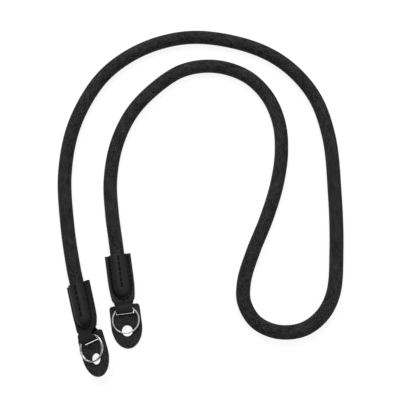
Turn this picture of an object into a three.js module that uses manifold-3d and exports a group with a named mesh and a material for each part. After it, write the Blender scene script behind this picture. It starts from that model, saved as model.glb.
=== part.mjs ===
// A rope camera neck strap, laid down in one loose loop.
//
// Millimetres, +Z up. The surface that the strap lies on is z = 0, and the origin is on it, under the middle
// of the loop. A round braided rope runs from one leather sleeve to the other. Each sleeve is a leather strip
// folded over a split ring, with both leaves moulded over the rope's end and stitched together beside it. The
// fold also passes through a slit in a leather guard pad, which keeps the ring off the camera's body.
//
// An end's own frame has its origin at the middle of the sleeve's mouth: x across the sleeve, y along it and
// out of the mouth, so the fold is at negative y, and z towards the side that the ring lies on.

import * as THREE from "three";
import { mergeVertices } from "three/addons/utils/BufferGeometryUtils.js";
import Module from "manifold-3d";

// ---------------------------------------------------------------- driving dimensions

const ROPE_DIAMETER = 10;
const ROPE_IN_SLEEVE = 25.2; // length of rope inside each sleeve
const ROPE_STRAIGHT = 12; // length that leaves a mouth still straight
const ROPE_SIDES = 12;
const ROPE_STEPS = 80;

const CLEARANCE = 0.3; // between pieces that lie on each other
const LEAF = 1.1; // thickness of the sleeve's leather
const FOLD_LEAF = 1; // the same leather, thinned where it is folded
const SLEEVE_LENGTH = 42.3; // mouth to the outside of the fold
const FOLD_CENTRE_Z = 0.1;
const FOLD_RADIUS = 4.2; // outside of the fold, seen from its side
const POCKET_START = 34; // where the leaves part to make the pocket
const FOLD_CORNER = 1.2; // rounding of the fold's two corners

// Half of the sleeve's width at distances from its mouth.
const SLEEVE_OUTLINE = [
  { along: 0, half: 9.2 },
  { along: 18, half: 9.15 },
  { along: 23, half: 9.0 },
  { along: 29, half: 8.5 },
  { along: 32.5, half: 8 },
  { along: 34, half: 7.1 },
  { along: 35.2, half: 6.6 },
  { along: 36.5, half: 6.25 },
  { along: 38, half: 6 },
  { along: SLEEVE_LENGTH, half: 5.8 },
];

const GUARD_THICKNESS = 1.5;
const GUARD_TOP = 36.2; // distance of the guard's straight edge from the mouth
const GUARD_TOP_HALF = 10.8;
const GUARD_CORNER = 2.2;
const GUARD_WIDEST = 50.8; // distance of its widest line from the mouth
const GUARD_WIDEST_HALF = 11;
const GUARD_TIP = 67.1;
const SLIT_START = 39.2;
const SLIT_END = 43.3;
const SLIT_HALF = 6.5;
const HOLE_AT = 54.6;
const HOLE_RADIUS = 3.8;

const RING_RADIUS = 9.3; // to the middle of the strip that the ring is coiled from
const STRIP_WIDE = 1.4; // the strip, across the ring's plane
const STRIP_DEEP = 0.8; // and along the ring's axis
const TURN_PITCH = 0.9; // from one turn to the next
const RING_AXIS_ALONG = 38.3; // the line in the fold that the ring swings about
const RING_AXIS_Z = 0.66;
const RING_OVER_AXIS = 0.9; // how far the ring's top lies past that line
const RING_DROOP = 2.2; // degrees that the ring leans towards the guard, where it rests
const RING_STEP_AT = 215; // degrees round the ring, where one turn passes into the next
const RING_STEP_SPAN = 28;
const RING_SEGMENTS = 64;

// Between the rope's end and the fold the leather gives, so that the fold, with the guard and the ring in it,
// is turned a little from the rest of the sleeve.
const BEND_START = 27;
const BEND_END = 35;
const BEND_CENTRE = 32.5;

// Where each end lies: its mouth, the turn of its long axis away from -Y, how far it rolls over on that axis
// and how far it points down. The same three angles say how its fold is turned from there.
const ENDS = [
  {
    side: "left",
    mouth: [-87.7, -67.6, 6.5],
    angles: { turn: 14.3, roll: -33, dip: -0.6 },
    foldAngles: { turn: 6.5, roll: 5, dip: -2.5 },
  },
  {
    side: "right",
    mouth: [-59.3, -46.6, 6.5],
    angles: { turn: 9, roll: 0, dip: 0 },
    foldAngles: { turn: -1, roll: 0, dip: 5.8 },
  },
];

// The rope's middle, from the left mouth round the loop to the right one. It lies on the surface, apart from
// where it rises into a sleeve.
const ROPE_ROUTE = [
  [-97, -23, 5.1],
  [-100.5, 16, 5],
  [-95, 54, 5],
  [-78, 89, 5],
  [-58, 108.5, 5],
  [-31, 122, 5],
  [0, 126.7, 5],
  [42, 118, 5],
  [68, 102.5, 5],
  [88, 77.5, 5],
  [98, 45, 5],
  [100.5, 0, 5],
  [99.8, -42, 5],
  [96, -74, 5],
  [87, -90, 5],
  [73, -99.6, 5],
  [55, -101, 5],
  [40, -94, 5],
  [32, -80, 5],
  [32.3, -65, 5],
  [39, -44, 5],
  [49, -20, 5],
  [57.5, 6, 5],
  [61.8, 32, 5],
  [60.5, 56, 5],
  [52, 77.5, 5],
  [36, 94, 5],
  [12, 102, 5],
  [-13, 98.5, 5],
  [-35, 83, 5],
  [-52, 63, 5],
  [-62.5, 38, 5],
  [-66.3, 10, 5.2],
  [-64.3, -15, 6.2],
];

const ROPE_RADIUS = ROPE_DIAMETER / 2;
const BORE_RADIUS = ROPE_RADIUS + CLEARANCE;
const BORE_DEPTH = ROPE_IN_SLEEVE + CLEARANCE;
const BULGE_RADIUS = BORE_RADIUS + LEAF;
const BULGE_STRAIGHT = BORE_DEPTH - 0.7; // the leather starts to close in just before the bore's end
const POCKET_RADIUS = FOLD_RADIUS - FOLD_LEAF;
const FOLD_CENTRE = SLEEVE_LENGTH - FOLD_RADIUS;
const GUARD_BACK = FOLD_CENTRE_Z - POCKET_RADIUS + CLEARANCE; // the guard's face on the camera's side

// ---------------------------------------------------------------- materials

const material = (name, color, roughness, metalness) =>
  new THREE.MeshStandardMaterial({ name, color, roughness, metalness });

const braid = material("braided rope", 0x17181a, 0.85, 0);
const smoothLeather = material("smooth leather", 0x141414, 0.55, 0);
const grainedLeather = material("grained leather", 0x18181a, 0.6, 0);
const steel = material("bright steel", 0xc9cacc, 0.25, 1);

// ---------------------------------------------------------------- solids

const wasm = await Module();
wasm.setup();

// Three angles in degrees: a turn about z, then a dip about x, then a roll about y.
function eulerOf({ turn, roll, dip }) {
  const rad = THREE.MathUtils.degToRad;
  return new THREE.Euler(rad(dip), rad(roll), rad(turn), "ZXY");
}

// A closed geometry as a solid that can be joined and cut.
function solidOf(geometry) {
  const bare = geometry.clone();
  bare.deleteAttribute("normal");
  bare.deleteAttribute("uv");
  const merged = mergeVertices(bare, 1e-4);
  return new wasm.Manifold(
    new wasm.Mesh({
      numProp: 3,
      vertProperties: merged.attributes.position.array,
      triVerts: new Uint32Array(merged.index.array),
    }),
  );
}

function geometryOf(solid) {
  const { vertProperties, triVerts } = solid.getMesh();
  const geometry = new THREE.BufferGeometry();
  geometry.setAttribute("position", new THREE.BufferAttribute(vertProperties, 3));
  geometry.setIndex(new THREE.BufferAttribute(triVerts, 1));
  geometry.computeVertexNormals();
  return geometry;
}

// A shape drawn in the end's x and y, from one height to another.
function plate(shape, low, high, curveSegments = 12) {
  const geometry = new THREE.ExtrudeGeometry(shape, {
    depth: high - low,
    bevelEnabled: false,
    curveSegments,
  });
  return geometry.translate(0, 0, low);
}

// A shape drawn in the end's y and z, as wide as given across x.
function across(shape, width, curveSegments = 12) {
  const geometry = new THREE.ExtrudeGeometry(shape, {
    depth: width,
    bevelEnabled: false,
    curveSegments,
  });
  const yzx = new THREE.Matrix4().makeBasis(
    new THREE.Vector3(0, 1, 0),
    new THREE.Vector3(0, 0, 1),
    new THREE.Vector3(1, 0, 0),
  );
  return geometry.applyMatrix4(yzx).translate(-width / 2, 0, 0);
}

// ---------------------------------------------------------------- leather sleeve

// The outline seen from the front: its sides follow the table, and the fold's corners are rounded.
function sleeveOutline() {
  const shape = new THREE.Shape();
  const fold = SLEEVE_OUTLINE[SLEEVE_OUTLINE.length - 1];
  const sides = SLEEVE_OUTLINE.slice(0, -1);
  shape.moveTo(sides[0].half, -sides[0].along);
  shape.lineTo(-sides[0].half, -sides[0].along);
  for (const row of sides.slice(1)) shape.lineTo(-row.half, -row.along);
  shape.lineTo(-fold.half, FOLD_CORNER - fold.along);
  shape.quadraticCurveTo(-fold.half, -fold.along, FOLD_CORNER - fold.half, -fold.along);
  shape.lineTo(fold.half - FOLD_CORNER, -fold.along);
  shape.quadraticCurveTo(fold.half, -fold.along, fold.half, FOLD_CORNER - fold.along);
  for (const row of sides.slice(1).reverse()) shape.lineTo(row.half, -row.along);
  return shape;
}

// The strip seen from its side: two leaves lie together, then part to pass round the ring and the guard.
function foldedStrip() {
  const flat = 32.8; // the leaves lie flat on each other up to here
  const flankTop = 36.3;
  const flankBottom = 35.4;
  const bending = []; // places on the flat leaves where they can bend
  for (let along = BEND_START; along < flat; along += 1.4) bending.push(along);

  const shape = new THREE.Shape();
  shape.moveTo(0, -LEAF);
  shape.lineTo(0, LEAF);
  for (const along of bending) shape.lineTo(-along, LEAF);
  shape.lineTo(-flat, LEAF);
  shape.lineTo(-flankTop, FOLD_CENTRE_Z + FOLD_RADIUS);
  shape.absarc(-FOLD_CENTRE, FOLD_CENTRE_Z, FOLD_RADIUS, Math.PI / 2, (3 * Math.PI) / 2, false);
  shape.lineTo(-flankBottom, FOLD_CENTRE_Z - FOLD_RADIUS);
  shape.lineTo(-flat, -LEAF);
  for (const along of bending.reverse()) shape.lineTo(-along, -LEAF);
  return shape;
}

function pocketShape() {
  const flankTop = 36.8;
  const flankBottom = 35.9;
  const shape = new THREE.Shape();
  shape.moveTo(-POCKET_START, 0);
  shape.lineTo(-flankTop, FOLD_CENTRE_Z + POCKET_RADIUS);
  shape.absarc(-FOLD_CENTRE, FOLD_CENTRE_Z, POCKET_RADIUS, Math.PI / 2, (3 * Math.PI) / 2, false);
  shape.lineTo(-flankBottom, FOLD_CENTRE_Z - POCKET_RADIUS);
  return shape;
}

// The leather over the rope's end: a round sleeve that closes in a half ball.
function bulge() {
  const sides = 28;
  const capSteps = 6;
  const profile = [];
  for (let i = 0; i <= capSteps; i++) {
    const angle = ((i / capSteps) * Math.PI) / 2;
    const y = -BULGE_STRAIGHT - BULGE_RADIUS * Math.cos(angle);
    profile.push(new THREE.Vector2(BULGE_RADIUS * Math.sin(angle), y));
  }
  profile[0].x = 0;
  profile.push(new THREE.Vector2(BULGE_RADIUS, 0), new THREE.Vector2(0, 0));
  return new THREE.LatheGeometry(profile, sides);
}

function bore() {
  const past = 1; // the cutter runs out of the mouth
  return new THREE.CylinderGeometry(BORE_RADIUS, BORE_RADIUS, BORE_DEPTH + past, 28).translate(
    0,
    (past - BORE_DEPTH) / 2,
    0,
  );
}

// Turns what lies beyond the bend, and part of the way what lies within it.
function bend(geometry, foldAngles) {
  const position = geometry.getAttribute("position");
  const point = new THREE.Vector3();
  const turned = new THREE.Vector3();
  const turning = new THREE.Quaternion().setFromEuler(eulerOf(foldAngles));
  const still = new THREE.Quaternion();
  const part = new THREE.Quaternion();
  for (let i = 0; i < position.count; i++) {
    point.fromBufferAttribute(position, i);
    part.slerpQuaternions(still, turning, THREE.MathUtils.smoothstep(-point.y, BEND_START, BEND_END));
    turned.copy(point).setY(point.y + BEND_CENTRE).applyQuaternion(part);
    position.setXYZ(i, turned.x, turned.y - BEND_CENTRE, turned.z);
  }
  geometry.computeVertexNormals();
  return geometry;
}

function sleeveGeometry(foldAngles) {
  const widest = 2 * SLEEVE_OUTLINE[0].half + 2;
  const tallest = 2 * FOLD_RADIUS + 2;
  const strip = solidOf(across(foldedStrip(), widest, 10)).intersect(
    solidOf(plate(sleeveOutline(), -tallest / 2, tallest / 2, 3)),
  );
  const hollow = solidOf(across(pocketShape(), widest + 2, 10));
  const straight = strip.add(solidOf(bulge())).subtract(solidOf(bore())).subtract(hollow);
  return bend(geometryOf(straight), foldAngles);
}

// ---------------------------------------------------------------- guard pad

function guardGeometry() {
  const cornerY = -GUARD_TOP - GUARD_CORNER;
  const shape = new THREE.Shape();
  shape.moveTo(GUARD_TOP_HALF, cornerY);
  shape.quadraticCurveTo(GUARD_TOP_HALF, -GUARD_TOP, GUARD_TOP_HALF - GUARD_CORNER, -GUARD_TOP);
  shape.lineTo(GUARD_CORNER - GUARD_TOP_HALF, -GUARD_TOP);
  shape.quadraticCurveTo(-GUARD_TOP_HALF, -GUARD_TOP, -GUARD_TOP_HALF, cornerY);
  shape.lineTo(-GUARD_WIDEST_HALF, -GUARD_WIDEST);
  shape.absellipse(
    0,
    -GUARD_WIDEST,
    GUARD_WIDEST_HALF,
    GUARD_TIP - GUARD_WIDEST,
    Math.PI,
    2 * Math.PI,
    false,
    0,
  );

  const slit = new THREE.Path();
  slit.moveTo(-SLIT_HALF, -SLIT_END);
  slit.lineTo(SLIT_HALF, -SLIT_END);
  slit.lineTo(SLIT_HALF, -SLIT_START);
  slit.lineTo(-SLIT_HALF, -SLIT_START);
  slit.closePath();
  const hole = new THREE.Path().absarc(0, -HOLE_AT, HOLE_RADIUS, 0, 2 * Math.PI, false);
  shape.holes.push(slit, hole);

  return plate(shape, GUARD_BACK, GUARD_BACK + GUARD_THICKNESS, 24);
}

// ---------------------------------------------------------------- split ring

// The middle of the strip: two flat turns, with one short slope from the lower turn to the upper one. Both
// ends of the strip stop at that slope.
class SplitRingPath extends THREE.Curve {
  getPoint(t, target = new THREE.Vector3()) {
    const degrees = t * (720 - RING_STEP_SPAN) + RING_STEP_AT;
    const climbed = THREE.MathUtils.smoothstep(
      degrees,
      RING_STEP_AT + 360 - RING_STEP_SPAN,
      RING_STEP_AT + 360,
    );
    const angle = THREE.MathUtils.degToRad(degrees);
    return target.set(
      RING_RADIUS * Math.cos(angle),
      RING_RADIUS * Math.sin(angle),
      (climbed - 0.5) * TURN_PITCH,
    );
  }
}

// The strip's section has its corners cut, and lies flat round the ring.
function ringGeometry() {
  const [deep, wide, cut] = [STRIP_DEEP / 2, STRIP_WIDE / 2, 0.2];
  const section = new THREE.Shape([
    new THREE.Vector2(deep, wide - cut),
    new THREE.Vector2(deep - cut, wide),
    new THREE.Vector2(cut - deep, wide),
    new THREE.Vector2(-deep, wide - cut),
    new THREE.Vector2(-deep, cut - wide),
    new THREE.Vector2(cut - deep, -wide),
    new THREE.Vector2(deep - cut, -wide),
    new THREE.Vector2(deep, cut - wide),
  ]);
  return new THREE.ExtrudeGeometry(section, {
    steps: RING_SEGMENTS,
    extrudePath: new SplitRingPath(),
  });
}

// ---------------------------------------------------------------- one end

function named(name, geometry, finish) {
  const mesh = new THREE.Mesh(geometry, finish);
  mesh.name = name;
  return mesh;
}

// The frame of one end, at its mouth.
function endFrame({ mouth, angles }) {
  const frame = new THREE.Group();
  frame.position.set(...mouth);
  frame.rotation.copy(eulerOf(angles));
  frame.updateMatrixWorld(true);
  return frame;
}

function strapEnd(end) {
  const frame = endFrame(end);
  frame.add(named(end.side + "_sleeve", sleeveGeometry(end.foldAngles), smoothLeather));

  const turned = new THREE.Group(); // turns about the bend's centre
  turned.position.y = -BEND_CENTRE;
  turned.rotation.copy(eulerOf(end.foldAngles));
  const fold = new THREE.Group(); // the end's own axes again, beyond the bend
  fold.position.y = BEND_CENTRE;
  turned.add(fold);
  frame.add(turned);
  fold.add(named(end.side + "_guard", guardGeometry(), grainedLeather));

  const swing = new THREE.Group(); // turns about the line in the fold
  swing.position.set(0, -RING_AXIS_ALONG, RING_AXIS_Z);
  swing.rotation.x = THREE.MathUtils.degToRad(RING_DROOP);
  const ring = named(end.side + "_ring", ringGeometry(), steel);
  ring.position.y = RING_OVER_AXIS - RING_RADIUS;
  swing.add(ring);
  fold.add(swing);
  return frame;
}

// ---------------------------------------------------------------- rope

// Points on the line of a sleeve's bore, from its blind end out to where the rope starts to bend.
function borePoints(end) {
  const frame = endFrame(end);
  return [-ROPE_IN_SLEEVE, 0, ROPE_STRAIGHT].map((y) =>
    frame.localToWorld(new THREE.Vector3(0, y, 0)),
  );
}

function ropeGeometry([leftEnd, rightEnd]) {
  const route = new THREE.CatmullRomCurve3([
    ...borePoints(leftEnd),
    ...ROPE_ROUTE.map((point) => new THREE.Vector3(...point)),
    ...borePoints(rightEnd).reverse(),
  ]);
  route.arcLengthDivisions = 2000;
  const section = new THREE.Shape();
  for (let i = 0; i < ROPE_SIDES; i++) {
    const angle = (2 * Math.PI * i) / ROPE_SIDES;
    const [x, y] = [ROPE_RADIUS * Math.cos(angle), ROPE_RADIUS * Math.sin(angle)];
    if (i === 0) section.moveTo(x, y);
    else section.lineTo(x, y);
  }
  return new THREE.ExtrudeGeometry(section, { steps: ROPE_STEPS, extrudePath: route });
}

// ---------------------------------------------------------------- the strap

const strap = new THREE.Group();
strap.add(named("rope", ropeGeometry(ENDS), braid));
for (const end of ENDS) strap.add(strapEnd(end));

export default strap;
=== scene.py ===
"""Dresses the frame of a rope camera neck strap: braided rope, stitched leather ends, guard pads and split
rings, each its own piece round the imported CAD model."""

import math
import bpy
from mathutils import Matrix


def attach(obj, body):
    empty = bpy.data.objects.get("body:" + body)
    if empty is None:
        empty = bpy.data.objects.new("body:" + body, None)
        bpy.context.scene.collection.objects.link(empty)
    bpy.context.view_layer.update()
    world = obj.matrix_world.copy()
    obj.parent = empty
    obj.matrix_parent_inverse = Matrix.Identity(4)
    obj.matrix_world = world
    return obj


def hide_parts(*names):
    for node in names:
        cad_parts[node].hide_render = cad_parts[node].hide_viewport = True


bl_info = {
    "name": "Rope camera neck strap",
    "version": (1, 0, 0),
    "blender": (4, 5, 0),
    "location": "3D View > Sidebar > Rope strap",
    "description": "Makes a braided rope neck strap with leather ends on its CAD frame",
    "category": "Add Mesh",
}

import bpy
import numpy as np
from bpy.props import FloatProperty, FloatVectorProperty, IntProperty, PointerProperty
from mathutils import Matrix, Vector
from mathutils.bvhtree import BVHTree

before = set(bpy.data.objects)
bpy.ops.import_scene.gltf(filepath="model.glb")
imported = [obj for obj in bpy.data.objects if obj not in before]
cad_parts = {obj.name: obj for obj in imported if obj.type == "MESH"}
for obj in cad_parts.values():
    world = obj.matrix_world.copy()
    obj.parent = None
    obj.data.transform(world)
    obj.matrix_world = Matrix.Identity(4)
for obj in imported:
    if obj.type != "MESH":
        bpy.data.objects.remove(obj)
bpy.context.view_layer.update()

MM = 0.001
TINY = 1e-6  # metres; closer than this is the same place

# ---- the strap's layout, as the frame has it

ROPE_IN_SLEEVE = 25.2 * MM
ROPE_STRAIGHT = 12 * MM  # how far the rope runs straight out of its sleeve
BEND_START, BEND_END, BEND_CENTRE = 27 * MM, 35 * MM, 32.5 * MM  # where a sleeve's leather gives
RING_AXIS_ALONG, RING_AXIS_Z = 38.3 * MM, 0.66 * MM  # what a split ring swings about
RING_OVER_AXIS = 0.9 * MM  # how far past that axis the middle of its strip lies
RING_DROOP = 2.2  # degrees

# The rope's middle from the left mouth round the loop to the right one, in millimetres.
ROPE_ROUTE = [
    (-97, -23, 5.1), (-100.5, 16, 5), (-95, 54, 5), (-78, 89, 5), (-58, 108.5, 5), (-31, 122, 5),
    (0, 126.7, 5), (42, 118, 5), (68, 102.5, 5), (88, 77.5, 5), (98, 45, 5), (100.5, 0, 5),
    (99.8, -42, 5), (96, -74, 5), (87, -90, 5), (73, -99.6, 5), (55, -101, 5), (40, -94, 5),
    (32, -80, 5), (32.3, -65, 5), (39, -44, 5), (49, -20, 5), (57.5, 6, 5), (61.8, 32, 5),
    (60.5, 56, 5), (52, 77.5, 5), (36, 94, 5), (12, 102, 5), (-13, 98.5, 5), (-35, 83, 5),
    (-52, 63, 5), (-62.5, 38, 5), (-66.3, 10, 5.2), (-64.3, -15, 6.2),
]  # fmt: skip

# Half of a sleeve's width at distances from its mouth, in millimetres.
SLEEVE_OUTLINE = [
    (0, 9.2), (18, 9.15), (23, 9.0), (29, 8.5), (32.5, 8), (34, 7.1), (35.2, 6.6), (36.5, 6.25),
    (38, 6), (41.2, 5.8), (42.6, 5.2),
]  # fmt: skip


def about_axis(axis, degrees):
    return Matrix.Rotation(math.radians(degrees), 4, axis)


def turned(turn, roll, dip):
    """A turn about z, then a dip about x, then a roll about y, in degrees."""
    return about_axis("Z", turn) @ about_axis("X", dip) @ about_axis("Y", roll)


def moved(points, matrix):
    m = np.array(matrix)
    return points @ m[:3, :3].T + m[:3, 3]


def eased(t):
    """0 up to 0, 1 from 1, and smooth between."""
    t = np.clip(t, 0, 1)
    return t * t * (3 - 2 * t)


class End:
    """One end of the strap. Its own frame starts at the middle of the sleeve's mouth: x across, y out of the
    mouth, z towards the side that the ring lies on. Beyond the bend everything is turned a little more."""

    def __init__(self, side, mouth, angles, fold_angles, rows_off, wider):
        self.side = side
        self.rows_off = [off * MM for off in rows_off]  # each row of stitches, off the sleeve's middle
        self.wider = wider * MM  # how much further the leather reaches on its right than on its left
        self.place = Matrix.Translation(Vector(mouth) * MM) @ turned(*angles)
        self.fold_turn = turned(*fold_angles)
        centre = Vector((0, BEND_CENTRE, 0))
        about = Matrix.Translation(-centre) @ self.fold_turn @ Matrix.Translation(centre)
        self.fold = self.place @ about

    def ring_frame(self, radius):
        """Where the split ring's own middle is."""
        return (
            self.fold
            @ Matrix.Translation((0, -RING_AXIS_ALONG, RING_AXIS_Z))
            @ about_axis("X", RING_DROOP)
            @ Matrix.Translation((0, RING_OVER_AXIS - radius, 0))
        )

    def settled(self, points):
        """Points of the straight end, bent as its leather gives and moved to their place."""
        axis, angle = self.fold_turn.to_quaternion().to_axis_angle()
        axis = np.array(axis)
        turn = angle * eased((-points[:, 1:2] - BEND_START) / (BEND_END - BEND_START))
        arm = points + (0, BEND_CENTRE, 0)
        arm = (
            arm * np.cos(turn)
            + np.cross(axis, arm) * np.sin(turn)
            + axis * (arm @ axis)[:, None] * (1 - np.cos(turn))
        )
        return moved(arm - (0, BEND_CENTRE, 0), self.place)


# Mouths and offsets in millimetres; angles are turn, roll and dip in degrees.
ENDS = [
    End("left", (-87.7, -67.6, 6.5), (14.3, -33, -0.6), (6.5, 5, -2.5), rows_off=(2.4, 0.25), wider=2.1),
    End("right", (-59.3, -46.6, 6.5), (9, 0, 0), (-1, 0, 5.8), rows_off=(0.9, 0.4), wider=0.3),
]


# ---- settings


def setting(kind, name, description, default, **limits):
    """One value that a user can change."""
    return kind(name=name, description=description, default=default, **limits)


def length(name, description, mm):
    return setting(FloatProperty, name, description, mm * MM, min=0, unit="LENGTH", precision=5)


def share(*about):
    return setting(FloatProperty, *about, min=0, max=1, subtype="FACTOR")


def colour(*about):
    return setting(FloatVectorProperty, *about, min=0, max=1, size=3, subtype="COLOR")


class RopeSettings(bpy.types.PropertyGroup):
    diameter: length("Diameter", "Thickness of the rope", 10)
    strands: setting(IntProperty, "Strands", "Strands that turn each way round the rope", 20, min=8, max=40)
    pick: length("Pick", "Length of rope from one crossing of a strand to its next", 2.4)
    relief: length("Relief", "Height of a strand's crown over the hollows beside it", 0.26)
    colour: colour("Colour", "Colour of the rope's yarn", (0.0128, 0.0128, 0.0132))
    sheen: share("Sheen", "Soft light at the yarn's edges", 0.03)


class LeatherSettings(bpy.types.PropertyGroup):
    thickness: length("Thickness", "Thickness of the sleeves' leather", 1.08)
    bore: length("Bore radius", "Radius of the leather's inside over the rope", 5.25)
    foot: length("Foot radius", "Rounding of the inside where the leather leaves the rope", 1.7)
    edge: length("Edge rounding", "Rounding of the cut edges", 0.24)
    groove: length("Groove", "Depth that a row of stitches pulls into the leather", 0.36)
    colour: colour("Colour", "Colour of the smooth leather", (0.0128, 0.0128, 0.0128))
    roughness: share("Roughness", "Roughness of the smooth leather", 0.58)


class StitchSettings(bpy.types.PropertyGroup):
    thread: length("Thread", "Thickness of the thread", 0.78)
    middle_pitch: length("Middle pitch", "Stitch spacing along the top of the sleeve", 3.9)
    middle_count: setting(IntProperty, "Middle stitches", "Stitches along the top", 6, min=1)
    foot_count: setting(IntProperty, "Foot stitches", "Stitches round the foot of the raised part", 21, min=3)
    gap: length("Gap", "Leather that shows between two stitches", 1.35)
    colour: colour("Colour", "Colour of the waxed thread", (0.0022, 0.0022, 0.0024))


class GuardSettings(bpy.types.PropertyGroup):
    thickness: length("Thickness", "Thickness of a guard pad", 1.5)
    half_width: length("Half width", "Half of a guard pad's widest width", 11)
    top_half_width: length("Top half width", "Half of its width at the straight edge", 10.8)
    corner: length("Corner", "Rounding of the straight edge's corners", 2.2)
    edge: length("Edge rounding", "Rounding of its cut edges", 0.42)
    hole_radius: length("Hole radius", "Radius of the hole for a camera's lug", 3.8)
    colour: colour("Colour", "Colour of the grained leather", (0.0122, 0.0122, 0.0126))
    grain: length("Grain", "Width of one pebble of the grain", 1.0)


class RingSettings(bpy.types.PropertyGroup):
    radius: length("Radius", "Radius to the middle of the coiled strip", 9.3)
    wide: length("Strip width", "Width of the strip across the ring's plane", 1.05)
    deep: length("Strip depth", "Depth of the strip along the ring's axis", 0.8)
    pitch: length("Pitch", "From one turn to the next", 0.9)
    colour: colour("Colour", "Colour of the plated steel", (0.6, 0.6, 0.59))
    roughness: share("Roughness", "Roughness of the plated steel", 0.32)


class StageSettings(bpy.types.PropertyGroup):
    floor_colour: colour("Floor", "Colour of the floor", (0.12, 0.12, 0.12))
    floor_glow: setting(FloatProperty, "Floor glow", "Light that the floor gives by itself", 0.88, min=0)
    sky: setting(FloatProperty, "Sky", "Strength of the light from all sides", 0.22, min=0)
    key: setting(FloatProperty, "Key light", "Power of the main soft light", 14, min=0, unit="POWER")
    lens: setting(FloatProperty, "Lens", "Focal length of the camera", 63.2, min=10, unit="CAMERA")


class StrapSettings(bpy.types.PropertyGroup):
    rope: PointerProperty(type=RopeSettings)
    leather: PointerProperty(type=LeatherSettings)
    stitches: PointerProperty(type=StitchSettings)
    guard: PointerProperty(type=GuardSettings)
    ring: PointerProperty(type=RingSettings)
    stage: PointerProperty(type=StageSettings)


# ---- shader expressions


def maths(operation, swapped=False):
    """An operator on wires that adds its Math node."""

    def operator(self, *others):
        values = (*others, self) if swapped else (self, *others)
        return self.finish.node("ShaderNodeMath", values, operation=operation)

    return operator


class Wire:
    """A socket that carries a number, and works in Python expressions."""

    def __init__(self, finish, socket):
        self.finish, self.socket = finish, socket

    __add__ = __radd__ = maths("ADD")
    __sub__, __rsub__ = maths("SUBTRACT"), maths("SUBTRACT", swapped=True)
    __mul__ = __rmul__ = maths("MULTIPLY")
    __gt__ = maths("GREATER_THAN")
    __round__ = maths("ROUND")
    cos = maths("COSINE")
    at_least = maths("MAXIMUM")

    def ramp(self, low, high):
        """0 up to low, 1 from high, and smooth between."""
        sockets = {"Value": self, "From Min": low, "From Max": high}
        return self.finish.node("ShaderNodeMapRange", sockets, interpolation_type="SMOOTHSTEP")


class Finish:
    """One material, built up from expressions."""

    def __init__(self, name):
        self.material = bpy.data.materials.new(name)
        self.material.use_nodes = True
        self.tree = self.material.node_tree
        self.shader = self.tree.nodes["Principled BSDF"]

    def node(self, kind, values=(), output=0, **settings):
        """Adds a node with its settings, then feeds its sockets, and gives one of its outputs."""
        node = self.tree.nodes.new(kind)
        for name, value in settings.items():
            setattr(node, name, value)
        pairs = values.items() if isinstance(values, dict) else enumerate(values)
        for name, value in pairs:
            self.feed(node.inputs[name], value)
        return Wire(self, node.outputs[output])

    def feed(self, socket, value):
        if isinstance(value, Wire):
            self.tree.links.new(value.socket, socket)
        else:
            socket.default_value = value

    def surface(self, **values):
        """Feeds the shader, with an underscore for a space in a socket's name, and gives the material."""
        for name, value in values.items():
            self.feed(self.shader.inputs[name.replace("_", " ")], value)
        return self.material

    def place(self):
        """The piece's own coordinates, in millimetres."""
        where = self.node("ShaderNodeTexCoord", output="Object")
        return self.node("ShaderNodeVectorMath", {0: where, "Scale": 1 / MM}, operation="SCALE")

    def vector(self, **parts):
        return self.node("ShaderNodeCombineXYZ", parts)

    def stretched(self, where, scale, turn=0.0):
        """Coordinates scaled along each axis, then turned about z."""
        return self.node("ShaderNodeMapping", {"Vector": where, "Rotation": (0, 0, turn), "Scale": scale})

    def attribute(self, name):
        return self.node("ShaderNodeAttribute", output="Fac", attribute_name=name)

    def noise(self, where, scale, detail=3.0, roughness=0.5):
        sockets = {"Vector": where, "Scale": scale, "Detail": detail, "Roughness": roughness}
        return self.node("ShaderNodeTexNoise", sockets)

    def cells(self, where, scale, feature="F1", output=0, **values):
        sockets = {"Vector": where, "Scale": scale, **values}
        return self.node("ShaderNodeTexVoronoi", sockets, output=output, feature=feature)

    def own_value(self, which):
        """A number of its own for each whole place."""
        return self.node("ShaderNodeTexWhiteNoise", {"Vector": which}, output="Value")

    def blend(self, factor, *colours):
        """One colour passing into another."""
        first, second = ((*c, 1) if isinstance(c, tuple) else c for c in colours)
        return self.node("ShaderNodeMix", {0: factor, 6: first, 7: second}, output=2, data_type="RGBA")

    def bump(self, height, depth, strength=1.0):
        """A normal that leans as the height does; depth is the relief of one unit of height, in metres."""
        return self.node("ShaderNodeBump", {"Strength": strength, "Distance": depth, "Height": height})


def tone(colour, factor):
    """A colour made lighter or darker."""
    return tuple(min(1.0, c * factor) for c in colour)


# ---- finishes


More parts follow.
